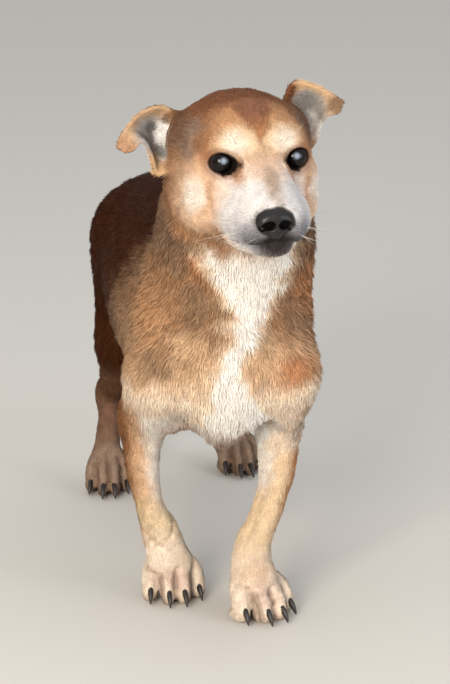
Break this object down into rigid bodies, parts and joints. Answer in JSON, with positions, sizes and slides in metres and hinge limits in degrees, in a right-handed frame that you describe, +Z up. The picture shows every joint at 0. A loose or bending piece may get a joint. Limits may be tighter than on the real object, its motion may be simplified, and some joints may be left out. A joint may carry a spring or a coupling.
{
  "type": "standing dog",
  "caption": "Small short-legged mixed-breed dog standing on four paws, smooth tan and brown coat, white muzzle, chest and forepaws, ears held out to the sides, still museum-style model",
  "frame": {"origin": "on the floor, under the middle of the dog's box", "axes": "-Y the way the dog faces, +X its left side, +Z up"},
  "size_m": [0.1764, 0.5111, 0.4182],
  "materials": {
    "coat_tan": "short smooth tan fur",
    "coat_brown": "short smooth reddish brown fur",
    "coat_white": "short cream white fur",
    "nose_leather": "black pebbled nose leather",
    "claw_horn": "smooth dark horn",
    "eye_glass": "wet, glossy dark brown"
  },
  "bodies": {
    "root": {"abdomen": "coat_brown", "chest": "coat_tan", "claw_fore_left_1": "claw_horn", "claw_fore_left_2": "claw_horn", "claw_fore_left_3": "claw_horn", "claw_fore_left_4": "claw_horn", "claw_fore_right_1": "claw_horn", "claw_fore_right_2": "claw_horn", "claw_fore_right_3": "claw_horn", "claw_fore_right_4": "claw_horn", "claw_hind_left_1": "claw_horn", "claw_hind_left_2": "claw_horn", "claw_hind_left_3": "claw_horn", "claw_hind_left_4": "claw_horn", "claw_hind_right_1": "claw_horn", "claw_hind_right_2": "claw_horn", "claw_hind_right_3": "claw_horn", "claw_hind_right_4": "claw_horn", "ear_left": "coat_brown", "ear_right": "coat_brown", "eye_left": "eye_glass", "eye_right": "eye_glass", "foreleg_left": "coat_tan", "foreleg_right": "coat_tan", "forepaw_left": "coat_white", "forepaw_right": "coat_white", "head": "coat_tan", "hindpaw_left": "coat_tan", "hindpaw_right": "coat_tan", "lower_jaw": "coat_white", "metatarsus_left": "coat_brown", "metatarsus_right": "coat_brown", "neck": "coat_tan", "nose": "nose_leather", "rump": "coat_brown", "shank_left": "coat_brown", "shank_right": "coat_brown", "tail_base": "coat_brown", "tail_tip": "coat_brown"}
  },
  "joints": []
}
